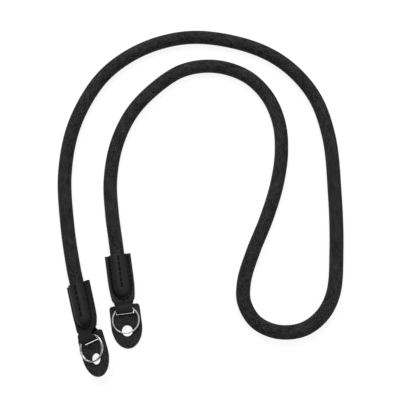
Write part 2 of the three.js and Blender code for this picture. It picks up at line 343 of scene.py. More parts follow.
def rope_finish(rope):
    """Black yarn, braided one over one: strands that turn left and right, with their fibres; the hollows
    between the strands' crowns are coloured darker as painted shade.
    """
    f = Finish("braided yarn")
    uv = f.node("ShaderNodeUVMap", output="UV", uv_map="braid")
    split = f.node("ShaderNodeSeparateXYZ", {"Vector": uv})
    around, along = (Wire(f, split.socket.node.outputs[axis]) for axis in "XY")
    left, right = around + along, around - along
    left_line, right_line = round(left), round(right)
    left_height = strand_height(left, left_line, right, 1)
    right_height = strand_height(right, right_line, left, -1)
    on_left = left_height > right_height
    height = left_height.at_least(right_height)

    # across the strand that shows, and along it
    across = left * on_left + right * (1 - on_left)
    lengthwise = right * on_left + left * (1 - on_left)
    fibres = f.noise(f.vector(X=across * 11, Y=lengthwise * 1.3, Z=on_left * 40), 1.0, 2.0, 0.6)
    strand_shade = f.own_value(f.vector(X=left_line * on_left, Y=right_line * (1 - on_left)))
    crossing_shade = f.own_value(f.vector(X=left_line, Y=right_line, Z=on_left))
    where = f.place()
    broad = f.noise(where, 0.16, 4.0, 0.7)
    lint = f.noise(where, 1.7, 4.0, 0.7).ramp(0.66, 0.8)

    # painted shade: the strands' crowns are coloured lighter and the hollows between them darker, over the
    # yarn's random tone
    light = height * 1.5 + fibres * 0.3 + strand_shade * 0.4 + crossing_shade * 0.55 + broad * 0.55 - 1.6
    yarn = f.blend(light.ramp(-0.1, 1.0), tone(rope.colour, 0.05), tone(rope.colour, 2.5))
    lint_colour = (0.09, 0.088, 0.085)
    return f.surface(
        Base_Color=f.blend(lint * 0.16, yarn, lint_colour),
        Roughness=0.86 - fibres * 0.22 - height * 0.08,
        Sheen_Weight=rope.sheen,
        Sheen_Roughness=0.45,
        Specular_IOR_Level=0.12,
        Normal=f.bump(height * 0.8 + fibres * 0.2, rope.relief * 1.8),
    )


def strand_height(own, line, other, side):
    """Height of the strands that turn one way: round across, over and under the others."""
    across = own - line
    crown = 1 - across * across * 3.4
    wave = ((other + line) * math.pi).cos()
    return crown * 0.7 + wave * (0.3 * side)


def smooth_leather_finish(leather):
    """Black smooth leather: fine pores, creases by the fold, polished edges, dull hollows; painted shade
    darkens the creases and the foot of the raised part, and wax and painted shade darken the leather round
    the stitches.
    """
    f = Finish("smooth leather")
    where = f.place()
    edge, crease_and_shade, rub, sewn = (f.attribute(name) for name in ("edge", "crease_and_shade", "rub", "sewn"))
    pores = f.cells(where, 2.6, "SMOOTH_F1", Smoothness=0.6)
    fine = f.noise(where, 5.5, 4.0, 0.65)
    cloudy = f.noise(where, 0.16, 4.0, 0.6)
    wrinkles = f.noise(f.stretched(where, (0.45, 1.9, 0.8)), 0.75, 4.0, 0.6)
    scuffs = f.noise(f.stretched(where, (3.2, 0.35, 1.0), turn=0.5), 0.9, 3.0, 0.7).ramp(0.62, 0.74)

    grain = pores * 0.5 + fine * 0.5
    # the crease mark paints shade into the colour: darker in the fold's crease and in the hollow at the
    # raised part's foot
    light = cloudy * 0.6 + fine * 0.35 + rub * 0.12 - crease_and_shade * 0.5
    hide = f.blend(light.ramp(0.1, 0.95), tone(leather.colour, 0.62), tone(leather.colour, 1.5))
    hide = f.blend(edge.ramp(0.25, 0.95) * 0.55, hide, tone(leather.colour, 0.6))
    hide = f.blend(scuffs * 0.12 * (rub + 0.15), hide, tone(leather.colour, 3.2))
    # round the stitches: darkened by their wax and by painted shade of their grooves and holes
    hide = f.blend(sewn * 0.97, hide, tone(leather.colour, 0.03))
    return f.surface(
        Base_Color=hide,
        Roughness=leather.roughness + fine * 0.14 + crease_and_shade * 0.12 - rub * 0.08 - edge * 0.12,
        Specular_IOR_Level=0.15,
        Normal=f.bump(grain * 0.6 + wrinkles * (0.25 + crease_and_shade * 0.9) + cloudy * 0.5, 0.11 * MM, 0.8),
    )


def grained_leather_finish(guard):
    """Black leather with a pebbled grain whose valleys are coloured darker as painted shade, and smooth edges
    with edge paint, coloured lighter, partly as a painted highlight.
    """
    f = Finish("grained leather")
    where = f.place()
    edge = f.attribute("edge")
    pebble = 1.0 * MM / guard.grain
    wander = f.noise(where, 0.8, 2.0)
    sockets = {0: where, 1: f.vector(X=wander * 0.9, Y=wander * -0.7)}
    shifted = f.node("ShaderNodeVectorMath", sockets, operation="ADD")
    valleys = f.cells(shifted, pebble, "DISTANCE_TO_EDGE").ramp(0.02, 0.32)
    domes = 1 - f.cells(shifted, pebble, "SMOOTH_F1", Smoothness=0.35)
    pebble_shade = f.cells(shifted, pebble, output="Color")
    fine = f.noise(where, 6.0, 3.0, 0.6)
    cloudy = f.noise(where, 0.3, 4.0, 0.65)
    plain = edge.ramp(0.35, 0.85)

    grain = (valleys * 0.7 + domes * 0.35) * (1 - plain) + plain * 0.6
    # painted shade: the valleys between the pebbles are coloured darker, over each pebble's own random tone
    light = valleys * 1.0 + fine * 0.3 + cloudy * 0.8 + pebble_shade * 0.7 - 1.05
    hide = f.blend(light.ramp(0.0, 1.0), tone(guard.colour, 0.08), tone(guard.colour, 2.6))
    return f.surface(
        # the smooth edges with edge paint, coloured lighter: partly a painted highlight along the cut edge
        Base_Color=f.blend(plain * 0.6, hide, tone(guard.colour, 1.25)),
        Roughness=0.62 - valleys * 0.1 + fine * 0.12 - plain * 0.12,
        Specular_IOR_Level=0.3,
        Normal=f.bump(grain + fine * 0.12, 0.3 * MM),
    )


def thread_finish(stitches):
    """Black waxed thread."""
    f = Finish("waxed thread")
    where = f.place()
    fibres = f.noise(where, 7.0, 3.0, 0.65)
    wax_and_shade = f.noise(where, 0.9, 2.0).ramp(0.45, 0.7)
    light = fibres * 0.7 + wax_and_shade * 0.3
    return f.surface(
        Base_Color=f.blend(light.ramp(0.2, 0.8), tone(stitches.colour, 0.6), tone(stitches.colour, 1.9)),
        Roughness=0.78 - wax_and_shade * 0.14,
        Specular_IOR_Level=0.12,
        Normal=f.bump(fibres, 0.05 * MM, 0.6),
    )


def steel_finish(ring):
    """Bright plated steel with hairline marks round the coil and a little dulling."""
    f = Finish("bright steel")
    where = f.place()
    marks = f.noise(f.stretched(where, (0.6, 0.6, 9.0)), 2.2, 3.0, 0.7)
    dull = f.noise(where, 0.5, 3.0).ramp(0.4, 0.75)
    specks = f.cells(where, 1.1).ramp(0.05, 0.12)
    return f.surface(
        Base_Color=f.blend(dull * 0.5 + (1 - specks) * 0.2, ring.colour[:], tone(ring.colour, 0.78)),
        Metallic=1.0,
        Roughness=ring.roughness + dull * 0.1 + marks * 0.08,
        Normal=f.bump(marks, 0.012 * MM, 0.35),
    )


def floor_finish(stage):
    """A plain matt pale floor, lit a little from below as a light table is."""
    f = Finish("pale floor")
    grey = f.noise(f.place(), 0.01, 2.0)
    return f.surface(
        Base_Color=f.blend(grey, tone(stage.floor_colour, 0.99), stage.floor_colour[:]),
        Roughness=0.9,
        Specular_IOR_Level=0.1,
        Emission_Color=(1, 1, 1, 1),
        Emission_Strength=stage.floor_glow,
    )


# ---- modelling helpers


def fresh(name):
    """The object that was just made, under its own name."""
    obj = bpy.context.object
    obj.name = obj.data.name = name
    return obj


def added(name, primitive, **how):
    """A new primitive, alone and under its own name."""
    nothing_selected()
    primitive(**how)
    return fresh(name)


def linked(name, data):
    """A new object for the data, in the scene."""
    obj = bpy.data.objects.new(name, data)
    bpy.context.collection.objects.link(obj)
    return obj


def nothing_selected():
    if bpy.context.object and bpy.context.object.mode != "OBJECT":
        bpy.ops.object.mode_set(mode="OBJECT")
    bpy.ops.object.select_all(action="DESELECT")


def circle(name, sides, **how):
    """A ring of points, with its place and turn applied to them."""
    obj = added(name, bpy.ops.mesh.primitive_circle_add, vertices=sides, **how)
    bpy.ops.object.transform_apply()
    return obj


def picked(obj):
    nothing_selected()
    obj.select_set(True)
    bpy.context.view_layer.objects.active = obj


def opened(obj):
    """Picks a piece and opens all of it in edit mode."""
    picked(obj)
    bpy.ops.object.mode_set(mode="EDIT")
    bpy.ops.mesh.select_all(action="SELECT")


def faced_outwards():
    """Turns all faces of the opened piece outwards, and closes it."""
    bpy.ops.mesh.select_all(action="SELECT")
    bpy.ops.mesh.normals_make_consistent(inside=False)
    bpy.ops.object.mode_set(mode="OBJECT")


def finished_by(obj, kind, **settings):
    """Adds a modifier and applies it."""
    picked(obj)
    modifier = obj.modifiers.new(kind.title(), kind)
    for name, value in settings.items():
        setattr(modifier, name, value)
    bpy.ops.object.modifier_apply(modifier=modifier.name)


def rounded(obj, width, segments, above=30):
    """Rounds the edges that turn by more than so many degrees."""
    limits = {"limit_method": "ANGLE", "angle_limit": math.radians(above)}
    finished_by(obj, "BEVEL", width=width, segments=segments, **limits)


def select_points(obj, chosen):
    """Opens a piece and selects the points whose place passes the test."""
    opened(obj)
    bpy.ops.mesh.select_mode(type="VERT")
    bpy.ops.mesh.select_all(action="DESELECT")
    bpy.ops.object.mode_set(mode="OBJECT")
    for v in obj.data.vertices:
        v.select = bool(chosen(v.co))
    bpy.ops.object.mode_set(mode="EDIT")


def points_of(obj):
    points = np.zeros(len(obj.data.vertices) * 3, np.float32)
    obj.data.vertices.foreach_get("co", points)
    return points.reshape(-1, 3).astype(float)


def put_points(obj, points):
    obj.data.vertices.foreach_set("co", points.astype(np.float32).ravel())
    obj.data.update()


def mark(obj, name, values):
    """Keeps a number at each point, for the finish to read."""
    layer = obj.data.attributes.new(name, "FLOAT", "POINT")
    layer.data.foreach_set("value", np.clip(values, 0, 1).astype(np.float32))


def complete(obj, body, material, slot, *nodes):
    """Gives a piece its finish and its body, and lets it stand for its CAD nodes."""
    nothing_selected()
    obj.data.materials.clear()
    obj.data.materials.append(material)
    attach(obj, body)
    if nodes:
        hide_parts(*nodes)


# ---- rope

ROUTE_STEPS = 60  # between two points of the route
ROPE_END_ALONG, ROPE_END_SIZE = (0, 0.7 * MM, 1.6 * MM), (0.8, 0.95, 1)  # how its cut ends round off


def smooth_line(points, steps):
    """A centripetal Catmull-Rom curve through the points, as the frame's rope has it."""
    points = np.array(points, float)
    points = np.vstack([2 * points[0] - points[1], points, 2 * points[-1] - points[-2]])
    pieces = []
    t = np.linspace(0, 1, steps, endpoint=False)[:, None]
    for p0, p1, p2, p3 in zip(points, points[1:], points[2:], points[3:]):
        d0, d1, d2 = (math.sqrt(np.linalg.norm(b - a)) for a, b in ((p0, p1), (p1, p2), (p2, p3)))
        out = ((p1 - p0) / d0 - (p2 - p0) / (d0 + d1) + (p2 - p1) / d1) * d1
        into = ((p2 - p1) / d1 - (p3 - p1) / (d1 + d2) + (p3 - p2) / d2) * d1
        square, cube = 3 * (p2 - p1) - 2 * out - into, 2 * (p1 - p2) + out + into
        pieces.append(p1 + out * t + square * t**2 + cube * t**3)
    return np.vstack([*pieces, points[-2][None]])


def distances(line):
    """How far along a line each of its points lies."""
    return np.concatenate([[0], np.cumsum(np.linalg.norm(np.diff(line, axis=0), axis=1))])


def evenly(line, count):
    """The line again, as a number of points evenly spaced along it."""
    along = distances(line)
    at = np.linspace(0, along[-1], count)
    return np.stack([np.interp(at, along, line[:, k]) for k in range(3)], axis=1)


def carried_frames(line):
    """Two directions across the line at each point, carried along it without twist."""
    ahead = np.gradient(line, axis=0)
    ahead /= np.linalg.norm(ahead, axis=1)[:, None]
    side = np.zeros_like(line)
    side[0] = np.cross(ahead[0], (0, 0, 1))
    for i in range(1, len(line)):
        side[i] = side[i - 1] - ahead[i] * (side[i - 1] @ ahead[i])
        side[i] /= np.linalg.norm(side[i])
    return side, np.cross(side, ahead)


def braided_tube(name, line, rope):
    """A closed tube along the line, whose UV map counts the strands round it and along it."""
    rows, sides = len(line), 2 * rope.strands
    side, up = carried_frames(line)

    # a strand's crown stands on every second corner of the net, and a hollow on the others
    row, column = np.meshgrid(np.arange(rows), np.arange(sides), indexing="ij")
    crown = np.where((row + column) % 2 == 0, 0.5, -0.5) * rope.relief
    from_end = np.minimum(np.arange(rows), np.arange(rows)[::-1]) * rope.pick / 2
    radius = rope.diameter / 2 * np.interp(from_end, ROPE_END_ALONG, ROPE_END_SIZE)[:, None] + crown
    angle = 2 * math.pi * column / sides
    points = (
        line[:, None]
        + (radius * np.cos(angle))[..., None] * side[:, None]
        + (radius * np.sin(angle))[..., None] * up[:, None]
    )

    faces, braid = [], []
    for i in range(rows - 1):
        for j in range(sides):
            k = (j + 1) % sides
            faces.append((i * sides + j, i * sides + k, (i + 1) * sides + k, (i + 1) * sides + j))
            u, v = j / 2, i / 2
            braid += [(u, v), (u + 0.5, v), (u + 0.5, v + 0.5), (u, v + 0.5)]
    first, last = range(sides), range((rows - 1) * sides, rows * sides)
    faces += [tuple(reversed(first)), tuple(last)]
    braid += [(0.0, 0.0)] * (2 * sides)
    mesh = bpy.data.meshes.new(name)
    mesh.from_pydata(points.reshape(-1, 3).tolist(), [], faces)
    layer = mesh.uv_layers.new(name="braid")
    layer.uv.foreach_set("vector", np.array(braid, np.float32).ravel())
    opened(linked(name, mesh))
    faced_outwards()
    bpy.ops.object.shade_smooth()
    return bpy.context.object


class STRAP_OT_rope(bpy.types.Operator):
    """Makes the braided rope, from inside one sleeve round the loop and into the other"""

    bl_idname = "rope_strap.rope"
    bl_label = "Rope"

    def execute(self, context):
        rope = context.scene.rope_strap.rope
        stops = (-ROPE_IN_SLEEVE, 0, ROPE_STRAIGHT)
        ends = [[end.place @ Vector((0, y, 0)) for y in stops] for end in ENDS]
        route = [*ends[0], *(Vector(p) * MM for p in ROPE_ROUTE), *reversed(ends[1])]
        line = smooth_line(route, ROUTE_STEPS)
        long = distances(line)[-1]
        line = evenly(line, 2 * round(long / rope.pick) + 1)
        obj = braided_tube("rope_braid", line, rope)
        complete(obj, "strap", rope_finish(rope), "rope", "rope")
        return {"FINISHED"}


# ---- leather sleeves

LEAVES_APART = 0.03 * MM  # from the middle plane to each leaf's inside
DOME_START = 22.7 * MM  # where the leather starts to close in over the rope's end
DOME_STRETCH = 1.4  # the closing part's length over its width
CATCH_UP = 1.42  # how much the leather beyond the foot is stretched, until it is as long as on plan
WIDER_TO = 26 * MM  # where a wider side starts to narrow
FLAT_END = 32.6 * MM  # the leaves lie on each other up to here
PARTING = 34 * MM  # where they start to part round the ring
RISE = 35.2 * MM  # where they part most steeply
TOP_MEETS, LOW_MEETS = 36.8 * MM, 35.9 * MM  # where each leaf comes to the pocket
POCKET_CENTRE = (-38.1 * MM, 0.1 * MM)
POCKET_RADIUS = 3.2 * MM

MIDDLE_FIRST = 3.0 * MM  # from the mouth to the middle of the top row's first stitch
FOOT_OUT = 6.95 * MM  # from the sleeve's middle to the stitches beside the raised part
FOOT_LONG = 10 * MM  # from DOME_START to the stitches beyond it
FOOT_FIRST = 1.4 * MM  # from the mouth to where that row starts
ROWS_WAX_AND_SHADE = ((1.0, 1.1 * MM), (0.65, 0.75 * MM))  # how dark the wax and painted shade round each row's stitches are, and how wide
GROOVE_REACH, PIT_REACH, WAX_AND_SHADE_REACH = 0.6 * MM, 0.42 * MM, 0.34 * MM
PIT_DEPTH = 0.9  # of a groove's depth: how much deeper a stitch's hole lies
EDGE_WORN, FOOT_CREASE, FOLD_CREASE = 0.45 * MM, 0.9 * MM, 2 * MM  # how far each mark reaches
RUB_ABOVE, RUB_WIDE = 4 * MM, 4 * MM  # how high the rubbed part starts, and how far it reaches

# points along the sleeve's curves, and across and along its blank
ARC_STEPS, FOOT_STEPS, CORNER_STEPS, TURN_STEPS, ROW_STEPS = 60, 30, 9, 90, 2000
WIDTH_STEPS, WIDTH_EASING = 900, 27
COLUMNS, LEAF_ROWS, FOLD_ROWS = 84, 118, 70


def fading(distance, reach, power=2):
    """1 at no distance, and falling to 0 round about the reach."""
    return np.exp(-(np.abs(distance / reach) ** power))


class Mould:
    """The shape that the leather is pressed to over the rope's end: round over the rope, hollow at its foot,
    and flat beyond. Distances over the leather turn into distances on plan and heights."""

    def __init__(self, leather):
        round_over, foot = leather.bore, leather.foot
        steepest = math.acos(foot / (round_over + foot))
        up = np.linspace(0, steepest, ARC_STEPS)
        down = np.linspace(steepest, 0, FOOT_STEPS)[1:]
        self.out = (round_over + foot) * math.sin(steepest)
        over_end = (round_over + foot) * steepest
        level = (CATCH_UP * over_end - self.out) / (CATCH_UP - 1)
        far = 200 * MM
        self.over = np.concatenate([round_over * up, over_end - foot * down, [level, far]])
        self.plan = np.concatenate([round_over * np.sin(up), self.out - foot * np.sin(down), [level, far]])
        self.height = np.concatenate([round_over * np.cos(up), foot - foot * np.cos(down), [0, 0]])

    def from_middle(self, x, y):
        """Distance on plan from the rope's middle line, or from its end."""
        return np.maximum(np.hypot(x, np.minimum((y + DOME_START) / DOME_STRETCH, 0)), 1e-9)

    def _carried(self, x, y, start, stop):
        """Places whose distance from the middle goes from one scale to another, with that distance."""
        arm = self.from_middle(x, y)
        by = np.interp(arm, start, stop) / arm
        beyond = np.minimum((y + DOME_START) / DOME_STRETCH, 0)
        return x * by, np.where(y < -DOME_START, beyond * by * DOME_STRETCH - DOME_START, y), arm

    def flattened(self, x, y):
        """A place on plan, on the leather laid out flat."""
        return self._carried(x, y, self.plan, self.over)[:2]

    def pressed(self, x, y):
        """A place on the flat leather, on plan, with its height."""
        x, y, arm = self._carried(x, y, self.over, self.plan)
        return x, y, np.interp(arm, self.over, self.height)


def half_width(y, wider=0):
    """Half of the sleeve's width, eased between the rows of its table, and wider up to near the fold."""
    table = np.array(SLEEVE_OUTLINE) * MM
    margin, window = 1 * MM, np.hanning(WIDTH_EASING)
    fine = np.linspace(table[0, 0] - margin, table[-1, 0] + margin, WIDTH_STEPS)
    rough = np.pad(np.interp(fine, table[:, 0], table[:, 1]), len(window) // 2, mode="edge")
    soft = np.convolve(rough, window / window.sum(), mode="valid")
    return np.interp(-y, fine, soft) + wider * np.interp(-y, (WIDER_TO, RISE), (1, 0))


def fold_line():
    """The inside of the strip seen from its side, from leaf to leaf round the pocket."""
    (cy, cz), r, gap = POCKET_CENTRE, POCKET_RADIUS, LEAVES_APART
    turn = np.linspace(0, math.pi, ARC_STEPS)
    around = [(cy - r * math.sin(a), cz + r * math.cos(a)) for a in turn]
    top = [(-FLAT_END, gap), (-PARTING, gap), (-TOP_MEETS, cz + r), around[0]]
    low = [around[-1], (-LOW_MEETS, cz - r), (-PARTING, -gap), (-FLAT_END, -gap)]
    top, low = cut_corners(top, (1.2 * MM, 1.1 * MM)), cut_corners(low, (0.5 * MM, 1.0 * MM))
    line = np.array([*top, *around[1:-1], *low])
    return line, distances(line)


def cut_corners(points, cuts):
    """A polyline whose inner corners are rounded, each cut that far along its legs."""
    points = [np.array(p, float) for p in points]
    line = [points[0]]
    for before, corner, after, cut in zip(points, points[1:], points[2:], cuts):
        start, stop = (corner + (p - corner) * cut / np.linalg.norm(p - corner) for p in (before, after))
        for t in np.linspace(0, 1, CORNER_STEPS):
            line.append(start * (1 - t) ** 2 + corner * 2 * t * (1 - t) + stop * t**2)
    return [*line, points[-1]]


def middle_row(end, stitches):
    """Start and stop of each stitch along the top of the raised part."""
    x, half = end.rows_off[0], (stitches.middle_pitch - stitches.gap) / 2
    rows = [-MIDDLE_FIRST - i * stitches.middle_pitch for i in range(stitches.middle_count)]
    return [(Vector((x, y + half, 0)), Vector((x, y - half, 0))) for y in rows]


def foot_row(end, stitches):
    """Start and stop of each stitch round the foot: down one side, round the end and up the other."""
    turn = [
        (-FOOT_OUT * math.cos(a), -DOME_START - FOOT_LONG * math.sin(a), 0)
        for a in np.linspace(0, math.pi, TURN_STEPS)
    ]
    line = np.array([(-FOOT_OUT, -FOOT_FIRST, 0), *turn, (FOOT_OUT, -FOOT_FIRST, 0)])
    line += (end.rows_off[1], 0, 0)
    total, fine = distances(line)[-1], evenly(line, ROW_STEPS)
    pitch, half_gap = total / stitches.foot_count, stitches.gap / 2
    row = []
    for i in range(stitches.foot_count):
        at = (i * pitch + half_gap, (i + 1) * pitch - half_gap)
        row.append(tuple(Vector(fine[round(a / total * (len(fine) - 1))]) for a in at))
    return row


def stitch_rows(end, stitches):
    return [middle_row(end, stitches), foot_row(end, stitches)]


def under_stitches(x, y, rows):
    """How near each place is to a stitch, to a stitch's hole, and to the leather darkened round it by its wax
    and by painted shade of its groove: 1 at it, falling to 0 beside it."""
    groove, pits, dark = np.zeros((3, len(x)))
    for row, (wax_and_shade, wide) in zip(rows, ROWS_WAX_AND_SHADE):
        for a, b in row:
            (ahead_x, ahead_y), long = (b - a).normalized()[:2], (b - a).length
            along = (x - a.x) * ahead_x + (y - a.y) * ahead_y
            beyond = np.maximum(np.maximum(-along, along - long), 0)
            aside = (x - a.x) * ahead_y - (y - a.y) * ahead_x
            from_hole = np.hypot(np.minimum(np.abs(along), np.abs(along - long)), aside)
            groove = np.maximum(groove, fading(np.hypot(aside, beyond), GROOVE_REACH))
            pits = np.maximum(pits, fading(from_hole, PIT_REACH))
            # darkening from the thread's wax and painted shade of the stitch's groove and holes
            dark = np.maximum(dark, wax_and_shade * fading(aside, wide, 3) * fading(beyond, WAX_AND_SHADE_REACH))
    return groove, pits, dark


def folded_strip(end, name, mould):
    """The inside of the leather, a flat blank pressed over the rope and folded, and its points on a leaf."""
    line, along = fold_line()

    # places along the strip, over its length on plan as if it weren't folded
    top = np.linspace(0, FLAT_END, LEAF_ROWS, endpoint=False)
    fold = np.linspace(FLAT_END, FLAT_END + along[-1], FOLD_ROWS)
    whole = 2 * FLAT_END + along[-1]
    strip = np.concatenate([top, fold, whole - top[::-1]])
    low_leaf = strip > whole / 2
    plan_y = -np.where(low_leaf, whole - strip, strip)
    in_fold = (strip > FLAT_END) & (strip < whole - FLAT_END)
    seen_y = np.where(in_fold, np.interp(strip - FLAT_END, along, line[:, 0]), plan_y)
    left_x, flat_y = mould.flattened(half_width(seen_y), plan_y)
    right_x, _ = mould.flattened(half_width(seen_y, end.wider), plan_y)

    grid = bpy.ops.mesh.primitive_grid_add
    obj = added(name, grid, x_subdivisions=COLUMNS, y_subdivisions=len(strip) - 1, size=2)
    blank_x, blank_y, _ = points_of(obj).T
    row = np.rint((blank_y + 1) / 2 * (len(strip) - 1)).astype(int)
    across = np.where(blank_x > 0, right_x[row], left_x[row])
    x, y, height = mould.pressed(blank_x * across, flat_y[row])
    ahead = -y - FLAT_END  # distance into the fold, from the leaf's own side
    ahead = np.where(low_leaf[row], along[-1] - ahead, ahead)
    side = np.where(low_leaf[row], -1, 1)
    flat = np.stack([y, side * (height + LEAVES_APART)], axis=1)
    round_fold = np.stack([np.interp(ahead, along, line[:, k]) for k in (0, 1)], axis=1)
    put_points(obj, np.column_stack([x, np.where((-y > FLAT_END)[:, None], round_fold, flat)]))

    middle = obj.data.polygons[COLUMNS * 3 + COLUMNS // 2]
    if middle.normal.z * middle.center.z < 0:
        opened(obj)
        bpy.ops.mesh.flip_normals()
        bpy.ops.object.mode_set(mode="OBJECT")
    from_leaf = np.minimum(strip, whole - strip)[row] - FLAT_END
    return obj, from_leaf < 2 * MM


def drawn_in(obj, inside, on_leaf, rows, leather):
    """Lowers the leather's outside under its stitches, and more at their holes."""
    points = points_of(obj)
    outer = slice(0, len(inside))  # Solidify keeps the outer skin's points first
    outside = points[outer]
    through = np.linalg.norm(outside - inside, axis=1)
    if len(points) != 2 * len(inside) or through.min() < 0.5 * leather.thickness:
        raise RuntimeError("the leather didn't get its thickness")
    outward = (outside - inside) / through[:, None]
    groove, pits, _ = under_stitches(outside[:, 0], outside[:, 1], rows)
    pull = leather.groove * (groove + PIT_DEPTH * pits)
    points[outer] = outside - outward * (pull * on_leaf)[:, None]
    put_points(obj, points)


def straight_sleeve(end, name, mould, settings):
    """The leather strip in the end's own frame, with its thickness, stitch grooves and rounded edges."""
    leather = settings.leather
    obj, on_leaf = folded_strip(end, name, mould)
    inside = points_of(obj)
    finished_by(obj, "SOLIDIFY", thickness=leather.thickness, offset=1, use_rim=True)
    drawn_in(obj, inside, on_leaf, stitch_rows(end, settings.stitches), leather)
    rounded(obj, leather.edge, 3, above=60)
    bpy.ops.object.shade_smooth()
    return obj


class STRAP_OT_sleeves(bpy.types.Operator):
    """Makes the leather sleeves, moulded over the rope's ends and folded round the split rings"""

    bl_idname = "rope_strap.sleeves"
    bl_label = "Leather sleeves"

    def execute(self, context):
        settings = context.scene.rope_strap
        material = smooth_leather_finish(settings.leather)
        mould = Mould(settings.leather)
        for end in ENDS:
            obj = straight_sleeve(end, f"{end.side}_sleeve_leather", mould, settings)
            points = points_of(obj)
            x, y, z = points.T
            inset = np.minimum(half_width(y, end.wider * (x > 0)) - np.abs(x), -y)
            from_middle = mould.from_middle(x, y)
            # the crease mark: real creases for the bump and roughness, and painted shade in the hollow at the
            # raised part's foot and in the fold's crease
            foot = fading(from_middle - mould.out, FOOT_CREASE) * (y > -FLAT_END)
            mark(obj, "edge", fading(np.maximum(inset, 0), EDGE_WORN, 1))
            mark(obj, "crease_and_shade", np.maximum(foot * 0.45, fading(y + RISE, FOLD_CREASE)))
            # the leather round the stitches, darkened by wax and by painted shade of their grooves
            mark(obj, "sewn", under_stitches(x, y, stitch_rows(end, settings.stitches))[2])
            mark(obj, "rub", (np.abs(z) > RUB_ABOVE) * fading(from_middle, RUB_WIDE))
            put_points(obj, end.settled(points))
            complete(obj, "strap", material, "sleeve_leather", f"{end.side}_sleeve")
        return {"FINISHED"}


# ---- stitches

SLEEVE_CLEAR = 30 * MM  # well outside the leather, on either face
PLIES, PER_PLY, STITCH_STEPS = 3, 4, 14
PLY_DEPTH, PLY_TURNS = 0.13, 0.55  # of the thread's radius, and over one stitch
THREAD_FLAT = 0.86  # the thread's height over its width
STITCH_RISE, STITCH_DIVE = 0.55, 1.9  # of the radius: up between the holes, and down at them
STITCH_TAPER = 0.25  # how much thinner the thread is at its holes


def one_stitch(stitches):
    """One stitch of round thread along x, one unit long."""
    about = {"radius": stitches.thread / 2, "rotation": (0, math.pi / 2, 0), "fill_type": "NGON"}
    obj = circle("stitch", PLIES * PER_PLY, **about)
    opened(obj)
    for _ in range(STITCH_STEPS):
        bpy.ops.mesh.extrude_region_move(TRANSFORM_OT_translate={"value": (1 / STITCH_STEPS, 0, 0)})
    faced_outwards()
    bpy.ops.object.shade_smooth()
    return obj


def lay_thread(unit, start, stop, ups, radius):
    """The stitch's points as twisted thread, laid from hole to hole and down into both."""
    x, y, z = unit.T
    t = x[:, None]
    centre = np.array(start) * (1 - t) + np.array(stop) * t
    up = ups[0] * (1 - t) + ups[1] * t
    up /= np.linalg.norm(up, axis=1)[:, None]
    ahead = np.array(stop - start)
    side = np.cross(up, ahead / np.linalg.norm(ahead))
    at_hole = np.abs(2 * x - 1) ** 6
    lift = radius * (STITCH_RISE - STITCH_DIVE * at_hole)
    around = np.arctan2(z, y)
    plump = radius * (1 + PLY_DEPTH * np.cos(PLIES * around)) * (1 - STITCH_TAPER * at_hole)
    angle = around + x * 2 * PLY_TURNS * math.pi
    return (
        centre
        + up * (lift + plump * np.sin(angle) * THREAD_FLAT)[:, None]
        + side * (plump * np.cos(angle))[:, None]
    )


def over_leather(tree, end, x, y, face):
    """The place on a settled sleeve straight over a place of its plan, if there is one, and the way out."""
    high, low = (Vector(p) for p in end.settled(np.array([(x, y, face * SLEEVE_CLEAR), (x, y, 0.0)])))
    return tree.ray_cast(high, low - high)[0], (high - low).normalized()


def surface_up(tree, end, x, y, face):
    """The leather's outward direction near a place, taken over a small patch."""
    reach = 0.9 * MM
    corners = [(x + i * reach, y + j * reach) for i, j in ((-1, -1), (1, -1), (1, 1), (-1, 1))]
    hits, outs = zip(*(over_leather(tree, end, *corner, face) for corner in corners))
    if None in hits:
        return np.array(outs[0])
    normal = (hits[2] - hits[0]).cross(hits[3] - hits[1]).normalized()
    return np.array(normal * (1 if normal.dot(outs[0]) > 0 else -1))


def sewn(end, sleeve, pattern, settings):
    """Copies of the stitch, each from its hole to the next on the settled leather."""
    tree = BVHTree.FromPolygons(
        [v.co for v in sleeve.data.vertices], [tuple(p.vertices) for p in sleeve.data.polygons]
    )
    unit, copies = points_of(pattern), []
    for face in (1, -1):
        for stitch in sum(stitch_rows(end, settings.stitches), []):
            places, ups = [], []
            for p in stitch:
                hit, out = over_leather(tree, end, p.x, p.y, face)
                if hit is None:
                    raise RuntimeError("a stitch misses its leather")
                # the pit at a hole lies lower than the leather beside it
                places.append(hit + out * settings.leather.groove * PIT_DEPTH)
                ups.append(surface_up(tree, end, p.x, p.y, face))
            copy = linked("stitch", pattern.data.copy())
            put_points(copy, lay_thread(unit, *places, ups, settings.stitches.thread / 2))
            copies.append(copy)
    return copies


class STRAP_OT_stitching(bpy.types.Operator):
    """Sews the sleeves: a row of stitches along the top and one round the foot, on both faces"""

    bl_idname = "rope_strap.stitching"
    bl_label = "Stitching"

    def execute(self, context):
        settings = context.scene.rope_strap
        material = thread_finish(settings.stitches)
        pattern = one_stitch(settings.stitches)
        for end in ENDS:
            sleeve = bpy.data.objects.get(f"{end.side}_sleeve_leather")
            if sleeve is None:
                raise RuntimeError("there is no sleeve to sew")
            copies = sewn(end, sleeve, pattern, settings)
            nothing_selected()
            for copy in copies:
                copy.select_set(True)
            context.view_layer.objects.active = copies[0]
            bpy.ops.object.join()
            obj = fresh(f"{end.side}_stitching")
            opened(obj)
            faced_outwards()
            complete(obj, "strap", material, None)
        bpy.data.objects.remove(pattern)
        return {"FINISHED"}


# ---- guards

GUARD_TOP, GUARD_WIDEST, GUARD_TIP = 36.2 * MM, 50.8 * MM, 67.1 * MM
GUARD_BACK = -2.8 * MM
SLIT_START, SLIT_END, SLIT_HALF, SLIT_CORNER = 39.2 * MM, 42.6 * MM, 6.5 * MM, 0.5 * MM
HOLE_AT = 54.6 * MM
OVAL_SIDES, HOLE_SIDES = 160, 96


def cut_with(obj, cutter):
    finished_by(obj, "BOOLEAN", operation="DIFFERENCE", object=cutter, solver="EXACT")
    bpy.data.objects.remove(cutter)


